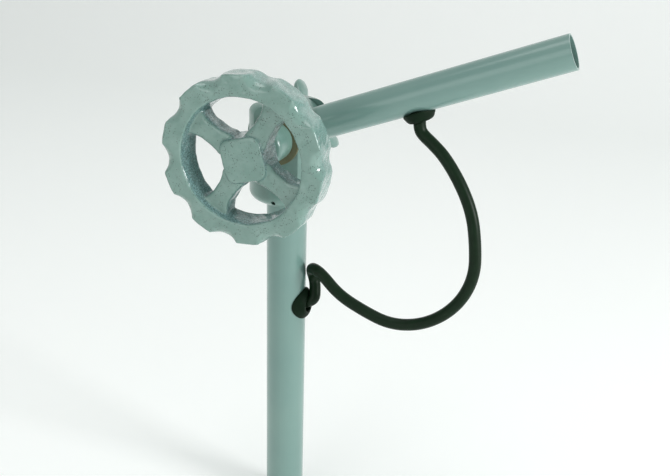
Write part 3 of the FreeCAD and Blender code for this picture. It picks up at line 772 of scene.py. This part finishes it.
@dataclass
class Cord:
    """The free loop of cord from the post's grommet to the arm's. Route in metres from the pivot."""

    radius: float = 0.0029
    sides: int = 32
    post_mouth: tuple = (0.0120, 0.0, -0.0880)
    arm_mouth: tuple = (0.06471, 0.0, 0.01241)
    route: list = field(default_factory=lambda: [
        (0.01200, 0.00000, -0.08800),
        (0.01550, 0.00000, -0.08644),
        (0.01500, 0.00240, -0.08200),
        (0.01350, 0.00520, -0.07750),
        (0.01250, 0.00320, -0.07180),
        (0.01550, -0.00320, -0.06720),
        (0.02150, -0.00620, -0.06850),
        (0.03060, -0.00660, -0.07780),
        (0.04380, -0.00720, -0.08390),
        (0.05750, -0.00800, -0.08810),
        (0.07130, -0.00860, -0.08610),
        (0.08360, -0.00900, -0.07910),
        (0.09290, -0.00900, -0.06810),
        (0.09750, -0.00860, -0.05460),
        (0.09640, -0.00780, -0.04040),
        (0.09360, -0.00640, -0.02660),
        (0.08720, -0.00460, -0.01400),
        (0.07840, -0.00250, -0.00240),
        (0.07140, -0.00090, 0.00320),
        (0.06700, -0.00010, 0.00620),
        (0.06489, 0.00000, 0.00900),
        (0.06471, 0.00000, 0.01241),
    ])

    def line(self) -> np.ndarray:
        """Points read from the smooth spline that has the route as its control points."""
        curve = bpy.data.curves.new("cord_route", "CURVE")
        curve.dimensions = "3D"
        curve.resolution_u = 16
        spline = curve.splines.new("NURBS")
        spline.points.add(len(self.route) - 1)
        base = Vector(PIVOT.tolist()) * MM
        for point, place in zip(spline.points, self.route):
            point.co = (*(base + Vector(place)), 1.0)
        spline.order_u = 3
        spline.use_endpoint_u = True
        holder = bpy.data.objects.new("cord_route", curve)
        mesh = bpy.data.meshes.new_from_object(holder)
        points = np.empty(len(mesh.vertices) * 3)
        mesh.vertices.foreach_get("co", points)
        bpy.data.objects.remove(holder)
        return points.reshape(-1, 3)

    def tube(self, line: np.ndarray) -> Surface:
        """A round tube along a line.

        At each point the ring lies across the tangent, measured from the direction that is square to both
        the tangent and the Y axis. Both ends close on their middle point.
        """
        tangent = np.gradient(line, axis=0)
        tangent /= np.linalg.norm(tangent, axis=1, keepdims=True)
        first = np.cross(tangent, [0.0, 1.0, 0.0])
        first /= np.linalg.norm(first, axis=1, keepdims=True)
        second = np.cross(tangent, first)
        angle = np.linspace(0.0, 2.0 * math.pi, self.sides, endpoint=False)[:, None]
        rings = line[:, None] + self.radius * (np.cos(angle) * first[:, None] + np.sin(angle) * second[:, None])
        ends = [np.broadcast_to(line[row], rings[row].shape)[None] for row in (0, -1)]
        return grid(np.concatenate([ends[0], rings, ends[1]]) / MM, False)

    def build(self, finishes: Finishes) -> None:
        """Makes the tube, closes its ends and puts it in place of the CAD cord."""
        line = self.line()
        piece = make("cord_loop", self.tube(line), finishes.sheath)
        weld_poles(piece)
        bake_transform(piece)
        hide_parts("flex_cord")


# ---------------------------------------------------------------- CAD nodes that keep their shape
def dress_frame(finishes: Finishes) -> None:
    """Gives every CAD node that stays its own finish."""
    looks = {
        finishes.post_enamel: ["post_tube"],
        finishes.arm_enamel: ["arm_tube"],
        finishes.part_enamel: ["post_head", "arm_eye", "arm_rivets"],
        finishes.dark_steel: ["head_pin", "drive_pin"],
        finishes.steel: ["clamp_spindle", "spring_washer"],
        finishes.bronze: ["cheek_bush_front", "cheek_bush_rear", "eye_bush"],
        finishes.fibre: ["friction_disc_front", "friction_disc_rear"],
        finishes.sheath: ["post_cable", "arm_cable"],
        finishes.plastic: ["post_end_bush", "arm_end_bush"],
    }
    for material, nodes in looks.items():
        for node in nodes:
            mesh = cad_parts[node].data
            for index in range(len(mesh.materials)):
                mesh.materials[index] = material
            log.info("%s: %s", node, material.name)


# ---------------------------------------------------------------- studio
@dataclass
class Studio:
    """A pale sweep, soft lights and the camera. The sweep and the lens are in millimetres, the rest in metres."""

    near_edge: float = -3000.0
    bend_start: float = 900.0
    bend_radius: float = 500.0
    wall_top: float = 3500.0
    half_width: float = 4000.0
    drop: float = 0.2
    azimuth: float = math.radians(22.0)
    rise: float = math.radians(15.14)
    roll: float = math.radians(0.67)
    distance: float = 0.449
    off_centre: tuple = (-0.05115, 0.11444, -1.0)
    sensor: float = 36.0
    lens: float = 49.73373

    def sweep(self) -> None:
        """A floor that curves up into a wall behind the object: a quarter circle between two straight runs."""
        bend = np.linspace(0.0, math.pi / 2.0, 24)
        depth = np.concatenate([[self.near_edge], self.bend_start + self.bend_radius * np.sin(bend),
                                [self.bend_start + self.bend_radius]])
        height = np.concatenate([[0.0], self.bend_radius * (1.0 - np.cos(bend)), [self.wall_top]])
        across = np.array([-self.half_width, self.half_width])
        points = np.stack([across + 0.0 * depth[:, None], depth[:, None] + 0.0 * across,
                           height[:, None] - self.drop + 0.0 * across], axis=-1).reshape(-1, 3)
        row = np.arange(len(depth) - 1)[:, None] * 2
        surface = Surface(points, row + np.array([[0, 1, 3, 2]]))
        graph = Graph("pale_sweep")
        piece = make("pale_sweep", surface, graph.shade(
            Base_Color=opaque(0.90, 0.915, 0.905), Roughness=0.9, Specular_IOR_Level=0.1,
            Emission_Color=opaque(0.98, 1.0, 0.985), Emission_Strength=0.11))

    def lamp(self, name: str, place: tuple[float, float, float], size: float, power: float,
             aim: tuple[float, float, float] = (0.02, 0.0, 0.17)) -> None:
        """A square soft light.

        Args:
            name: its name.
            place: where it hangs.
            size: the length of its side.
            power: its power in watts.
            aim: the point that it faces.
        """
        light = bpy.data.lights.new(name, "AREA")
        light.shape, light.size, light.energy = "SQUARE", size, power
        holder = bpy.data.objects.new(name, light)
        holder.location = place
        holder.rotation_euler = (Vector(aim) - Vector(place)).to_track_quat("-Z", "Y").to_euler()
        bpy.context.scene.collection.objects.link(holder)

    def lights(self) -> None:
        """A broad key above and to the right, a fill on the left and an even pale sky."""
        self.lamp("key", (1.25, -0.25, 0.48), 0.40, 10.5)
        self.lamp("top", (-0.10, -0.15, 1.30), 0.8, 4.2)
        self.lamp("front", (-0.50, -1.50, 0.60), 0.9, 3.2)
        world = bpy.data.worlds.new("sky")
        world.use_nodes = True
        world.node_tree.nodes["Background"].inputs["Color"].default_value = opaque(0.93, 0.97, 0.96)
        world.node_tree.nodes["Background"].inputs["Strength"].default_value = 0.50
        bpy.context.scene.world = world

    def camera(self) -> None:
        """A close camera 22 degrees to the right of the front and 15 above, turned so that the joint is left of
        the middle and high in the view."""
        back = np.array([math.sin(self.azimuth) * math.cos(self.rise),
                         -math.cos(self.azimuth) * math.cos(self.rise), math.sin(self.rise)])
        right = np.cross(-back, [0.0, 0.0, 1.0])
        right /= np.linalg.norm(right)
        above = np.cross(right, -back)
        rolled = np.array([right * math.cos(self.roll) + above * math.sin(self.roll),
                           above * math.cos(self.roll) - right * math.sin(self.roll), back])
        off_centre = Vector(self.off_centre).normalized()
        swing = Vector((0.0, 0.0, -1.0)).rotation_difference(off_centre).to_matrix()
        lens = bpy.data.cameras.new("camera")
        lens.sensor_width, lens.lens = self.sensor, self.lens
        lens.clip_start, lens.clip_end = 0.01, 50.0
        holder = bpy.data.objects.new("camera", lens)
        turn = (swing @ Matrix(rolled.tolist())).transposed().to_4x4()
        turn.translation = Vector((back * self.distance + PIVOT * MM).tolist())
        holder.matrix_world = turn
        bpy.context.scene.collection.objects.link(holder)
        bpy.context.scene.camera = holder

    def build(self) -> None:
        """Sets the stage, with plain display colours."""
        bpy.context.scene.view_settings.view_transform = "Standard"
        self.sweep()
        self.lights()
        self.camera()


def main() -> None:
    """Builds the studio, then each sub-assembly in order."""
    Studio().build()
    finishes = Finishes()
    dress_frame(finishes)
    post_exit = Axis(np.array([0.0, 0.0, POST_EXIT]), UP.across, UP.along)
    arm_exit = Axis(ARM.origin + ARM.along * ARM_EXIT, ARM.across, ARM.along)
    sub_assemblies = [
        Cord(), Handwheel(), Collar(), WingNut(), Washers(), Weld(),
        Grommet("post_grommet_rubber", post_exit, POST_RADIUS, flange=8.3, lip=6.5, height=2.7,
                node="post_grommet", body=Body.POST),
        Grommet("arm_grommet_rubber", arm_exit, ARM_RADIUS, flange=7.6, lip=5.9, height=3.6,
                node="arm_grommet", body=Body.ARM, tail=2.2, sag=1.7),
    ]
    for part in sub_assemblies:
        part.build(finishes)


if __name__ == "__main__":
    main()
